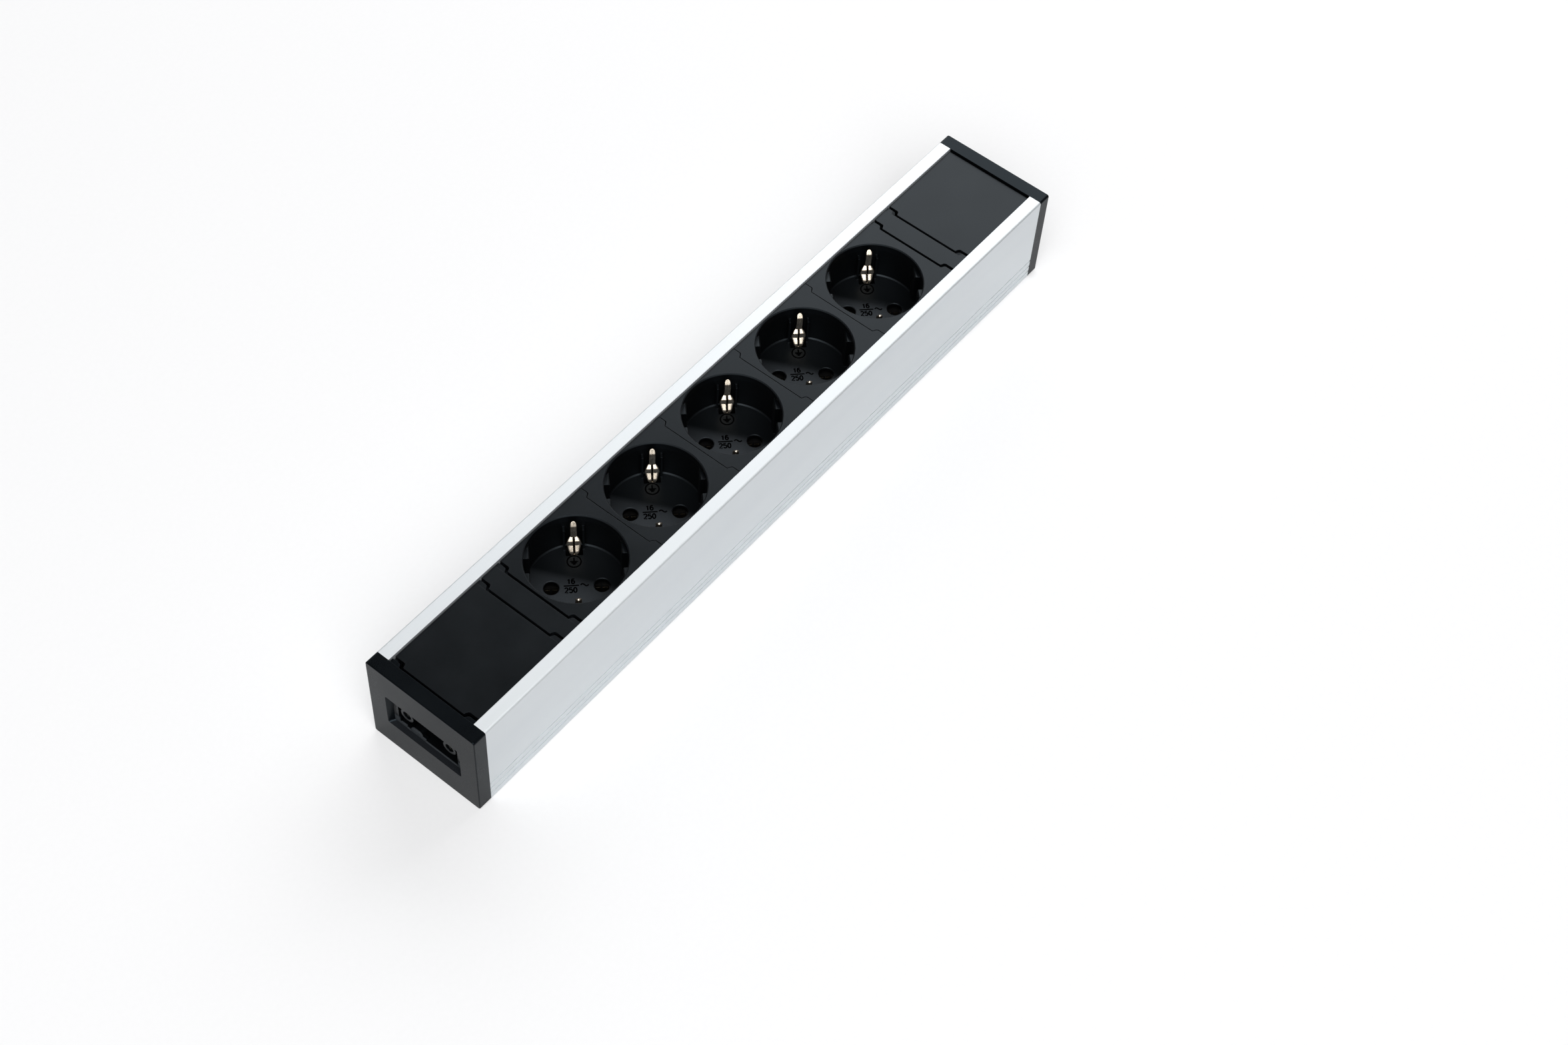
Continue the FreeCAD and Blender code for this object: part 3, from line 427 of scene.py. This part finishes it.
def earth_finger(number):
    """Strip whose section, a flat bar with round edges, follows the bent line and is pressed in its head.

    The head moves towards the well's middle by one minus the square of the place across, times the bulge,
    of which a quarter stays in the neck, less a bell curve times the groove's depth. Both end softly.
    Under the floor every twelfth row of points is enough.
    """
    low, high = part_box(f"earth_clip_{number}")
    tip = high[2] - well_floor + clip_tip_rise
    line = finger_line(low[2] - well_floor, tip)
    run = np.gradient(line, axis=0)
    run /= np.linalg.norm(run, axis=1)[:, None]
    kept = (line[:, 1] > -0.0005) | (np.arange(len(line)) % 12 == 0)
    line = line[kept]
    inward = np.stack([-run[kept, 1], run[kept, 0]], axis=1)
    height = line[:, 1]
    below_top = clip_head_top - height
    pressed = ramp(height, clip_fade) * ramp(below_top, clip_fade)
    split = ramp(height, 0.0002) * ramp(below_top, 0.0003)
    across, through = bar_section(45)
    sideways = finger_half_width(height, tip)[:, None] * across
    crown = (0.25 + 0.75 * pressed)[:, None] * clip_bulge * (1 - (sideways / clip_head_half) ** 2)
    crown -= split[:, None] * clip_groove_depth * np.exp(-(sideways / clip_groove_half) ** 2)
    depth = clip_thickness / 2 * through + (height > 0)[:, None] * crown
    place = line[:, None, :] + inward[:, None, :] * depth[:, :, None]
    rows = well_middle(number) + place[:, :, :1] * earth_line + place[:, :, 1:] * upright
    rows += sideways[:, :, None] * pin_line
    name = f"earth_finger_{number}"
    piece = place_piece(name, grid_mesh(name, rows, across), nickel)
    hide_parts(f"earth_clip_{number}")


for number in sockets:
    earth_finger(number)


# Each well's floor carries its current and voltage as plain numbers, and the
# common sign for earth beside the finger. The real marks are sunk in the
# moulding, and these are bands a hair thick that lie on the floor, painted black
# with the shade that falls in the sunk marks.

engraving_shade = Finish("painted engraving shade", Specular_IOR_Level=0.0)
speck = engraving_shade.noise(engraving_shade.stretched(0.4, 0.4, 0.4), detail=3.0)
# The bands are painted black with the shade of the sunk marks.
engraving_shade.feed("Base Color", engraving_shade.blend(speck, (0.0005, 0.0005, 0.0006, 1), (0.0015, 0.0015, 0.0016, 1)))
engraving_shade.feed("Roughness", speck * 0.2 + 0.5)
engraving_shade.bump(speck, depth=0.01)

# Places of the marks, with the pin line across and the line of the earth fingers upwards.
mark_rise = 0.00004
mark_stroke = 0.00056
marks_shift = np.array([-0.0003, 0.0004, 0])
rule_start, rule_end, rule_height = -0.0045, 0.0012, 0.0001
wave_start, wave_length, wave_height, wave_swing = 0.0018, 0.0030, 0.0002, 0.0005
sign_place = 0.0110
sign_radius = 0.0026
sign_bars = (0.0015, 0.0010, 0.0005)
sign_bar_step = 0.0006
sign_stem = 0.0017


def band(points, closed=False):
    """Band along a curve: its points moved half a stroke to each side and given a small height.

    The section is a rectangle of stroke by rise, carried along the curve at right angles to its run.
    """
    points = np.array(points, float)
    run = np.roll(points, -1, 0) - np.roll(points, 1, 0) if closed else np.gradient(points, axis=0)
    run /= np.linalg.norm(run, axis=1)[:, None]
    side = np.stack([-run[:, 1], run[:, 0]], axis=1) * mark_stroke / 2
    low = np.zeros((len(points), 1))
    high = low + mark_rise
    rows = np.stack([np.hstack([points - side, low]), np.hstack([points + side, low]),
                     np.hstack([points + side, high]), np.hstack([points - side, high])], axis=1)
    index = np.arange(len(points) * 4).reshape(-1, 4)
    onward = np.roll(index, -1, axis=0) if closed else index[1:]
    here = index if closed else index[:-1]
    here_turned, onward_turned = np.roll(here, -1, axis=1), np.roll(onward, -1, axis=1)
    faces = np.stack([here, here_turned, onward_turned, onward], axis=-1).reshape(-1, 4)
    if not closed:
        faces = np.vstack([faces, index[0][::-1], index[-1]])
    return rows.reshape(-1, 3), faces


def arc(x, y, wide, tall, first, last):
    """Points on the ellipse round (x, y), from one angle in degrees to another."""
    turn = np.radians(np.linspace(first, last, 40))
    return np.stack([x + wide * np.cos(turn), y + tall * np.sin(turn)], axis=1)


digits = {
    "0": arc(0.28, 0.50, 0.25, 0.50, 0, 360),
    "1": [(0.10, 0.76), (0.32, 1.00), (0.32, 0.00)],
    "2": np.vstack([arc(0.28, 0.73, 0.25, 0.27, 165, -40), [(0.03, 0.00), (0.55, 0.00)]]),
    "5": np.vstack([[(0.50, 1.00), (0.10, 1.00), (0.05, 0.50)], arc(0.27, 0.32, 0.27, 0.32, 130, -150)]),
    "6": np.vstack([arc(0.30, 0.50, 0.27, 0.50, 50, 180), arc(0.28, 0.31, 0.25, 0.31, 180, 540)]),
}


def number_bands(text, height, left, bottom):
    """A band for each digit, its curve on a field of 0.75 by 1 scaled to the height."""
    return [band(np.array(digits[digit]) * height + (left + 0.75 * height * place, bottom))
            for place, digit in enumerate(text)]


def floor_marks(number):
    """All marks of one well's floor, turned with the pin line and joined into one mesh.

    A straight line parts the numbers, one turn of a sine curve stands beside them, and the sign for earth
    is a stem on three bars, each shorter than the last, in a circle.
    """
    run = np.linspace(0, 1, 24)
    turn = np.linspace(0, 2 * np.pi, 60, endpoint=False)
    swing = wave_swing * np.sin(2 * np.pi * run)
    wave = np.stack([wave_start + wave_length * run, wave_height + swing], axis=1)
    ring = np.stack([sign_radius * np.cos(turn), sign_place + sign_radius * np.sin(turn)], axis=1)
    shapes = [band([(rule_start, rule_height), (rule_end, rule_height)]),
              band(wave),
              band(ring, closed=True),
              band([(0, sign_place + sign_stem), (0, sign_place)])]
    for step, half in enumerate(sign_bars):
        height = sign_place - sign_bar_step * step
        shapes.append(band([(-half, height), (half, height)]))
    shapes += number_bands("16", height=0.0021, left=-0.0031, bottom=0.0010)
    shapes += number_bands("250", height=0.0022, left=-0.0042, bottom=-0.0030)
    starts = np.cumsum([0] + [len(points) for points, _ in shapes])
    faces = np.vstack([quads + start for (_, quads), start in zip(shapes, starts)])
    flat = np.vstack([points for points, _ in shapes]) + marks_shift
    place = well_middle(number) + flat[:, :1] * pin_line + flat[:, 1:2] * earth_line + flat[:, 2:] * upright
    mesh = bpy.data.meshes.new(f"floor_marks_{number}")
    mesh.from_pydata(place.tolist(), [], faces.tolist())
    place_piece(f"floor_marks_{number}", mesh, engraving_shade)


for number in sockets:
    floor_marks(number)


# The bars and the pin forks are bare brass, punched from sheet, bent and dulled,
# with painted shade darkening their colour. They join the five sockets and grip
# the pins under the wells' floors.

brass = Finish("punched brass", Metallic=1.0)
tarnish_and_shade = brass.noise(brass.stretched(3, 3, 3), detail=5.0)
# The brass colour is darkened by painted shade, the shade of the pin holes it lies under.
brass.feed("Base Color", brass.blend(tarnish_and_shade, (0.06, 0.052, 0.04, 1), (0.12, 0.105, 0.075, 1)))
brass.feed("Roughness", tarnish_and_shade * 0.2 + 0.3)
brass.bump(tarnish_and_shade, depth=0.01, rounding=0.1)
brass.cover(*[f"busbar_{pole}" for pole in poles])
brass.cover(*[f"{pole}_contact_{number}" for pole in ("live", "neutral") for number in sockets])


# The socket bases and the tray under the bars are moulded in dark heat-proof
# plastic, a little mottled. Only the pin holes give a glimpse of it.

heat_proof = Finish("dark heat-proof plastic")
mottle = heat_proof.noise(heat_proof.stretched(2.5, 2.5, 2.5), detail=5.0)
heat_proof.feed("Base Color", heat_proof.blend(mottle, (0.004, 0.004, 0.004, 1), (0.009, 0.009, 0.010, 1)))
heat_proof.feed("Roughness", mottle * 0.15 + 0.5)
heat_proof.bump(mottle, depth=0.02, rounding=0.15)
heat_proof.cover("insulating_tray", *[f"socket_base_{number}" for number in sockets])


# The screws are zinc-plated steel with a faint blue cast. Ten hold the socket
# bases to their cups from below, and one holds the bonding tag to the channel.

zinc = Finish("zinc plated steel", Metallic=1.0)
sheen = zinc.noise(zinc.stretched(1.2, 1.2, 1.2), detail=4.0)
zinc.feed("Base Color", zinc.blend(sheen, (0.62, 0.64, 0.67, 1), (0.74, 0.74, 0.72, 1)))
zinc.feed("Roughness", sheen * 0.2 + 0.2)
zinc.bump(sheen, depth=0.01, rounding=0.1)
zinc.cover("base_screws", "bonding_screw")


# The leads are stranded copper in soft plastic: brown for live, blue for
# neutral, green and yellow for earth.

def insulation(name, colour, second):
    """Soft plastic in one colour, with slanting bands of a second one that follow the sum of X and Z."""
    bands_per_metre = 150
    second_share = 0.3
    plastic = Finish(name)
    ripple = plastic.noise(plastic.stretched(5, 2, 2), detail=3.0)
    slant = plastic.along("X") + plastic.along("Z")
    bands = (slant * bands_per_metre).fraction() > 1 - second_share
    plastic.feed("Base Color", plastic.blend(bands, colour, second))
    plastic.feed("Roughness", ripple * 0.2 + 0.3)
    plastic.bump(ripple, depth=0.02)
    return plastic


brown = (0.13, 0.05, 0.02, 1)
blue = (0.02, 0.12, 0.42, 1)
green = (0.05, 0.32, 0.06, 1)
yellow = (0.75, 0.62, 0.05, 1)
insulation("brown insulation", brown, brown).cover("lead_live")
insulation("blue insulation", blue, blue).cover("lead_neutral")
insulation("earth insulation", green, yellow).cover("lead_earth", "bonding_lead")


# The strip stands on a plain floor between a wide soft light low behind its far
# end, which gives the black plates their sheen, and a large one above the camera.
# The floor glows a little, for the camera alone, which turns it white.

floor_mesh = bpy.data.meshes.new("floor")
floor_half = 3.0
corners = [(x * floor_half, y * floor_half, 0) for x, y in ((-1, -1), (1, -1), (1, 1), (-1, 1))]
floor_mesh.from_pydata(corners, [], [(0, 1, 2, 3)])
floor = bpy.data.objects.new("floor", floor_mesh)
bpy.context.scene.collection.objects.link(floor)
paper = Finish("white paper", Roughness=0.9, Emission_Strength=0.265)
camera_ray = paper.node("ShaderNodeLightPath", {}, {}, "Is Camera Ray")
fibre = paper.noise(paper.stretched(2, 2, 2))
paper.feed("Base Color", paper.blend(fibre, (0.635, 0.635, 0.64, 1), (0.655, 0.655, 0.66, 1)))
paper.feed("Emission Color", paper.blend(camera_ray, (0, 0, 0, 1), (1, 1, 1, 1)))
paper.cover(floor)

studio = bpy.data.worlds.new("studio")
bpy.context.scene.world = studio
studio.use_nodes = True
sky = studio.node_tree.nodes["Background"]
sky.inputs["Color"].default_value = (0.94, 0.97, 1, 1)
sky.inputs["Strength"].default_value = 0.06


def soft_light(name, place, width, height, radiance):
    """Area lamp at place, turned to the strip's middle, with the given radiance over its whole face."""
    lamp = bpy.data.lights.new(name, "AREA")
    lamp.shape = "RECTANGLE"
    lamp.size = width
    lamp.size_y = height
    lamp.energy = radiance * math.pi * width * height
    holder = bpy.data.objects.new(name, lamp)
    turned = (-Vector(place)).to_track_quat("-Z", "Y").to_matrix().to_4x4()
    holder.matrix_world = Matrix.Translation(place) @ turned
    holder.visible_camera = False
    bpy.context.scene.collection.objects.link(holder)


soft_light("low light behind the far end", (1.37, 0.64, 0.98), width=2.5, height=1.3, radiance=2.4)
soft_light("light over the camera", (-1.40, -1.20, 2.53), width=3.0, height=2.8, radiance=4.4)

# The camera stands where the photograph was taken from, as a fit on corners, rims and pin holes gave it.
camera_place = Vector((-0.48103, -0.36536, 0.80642))
camera_ahead = Vector((0.481236, 0.337502, -0.809015))
camera_right = Vector((0.626982, -0.777517, 0.048593))
camera_up = camera_right.cross(camera_ahead)
lens = bpy.data.cameras.new("camera")
lens.sensor_width = 36.0
lens.lens = 58.0
camera = bpy.data.objects.new("camera", lens)
axes = Matrix((camera_right, camera_up, -camera_ahead)).transposed().to_4x4()
camera.matrix_world = Matrix.Translation(camera_place) @ axes
bpy.context.scene.collection.objects.link(camera)
bpy.context.scene.camera = camera
bpy.context.scene.view_settings.view_transform = "Standard"
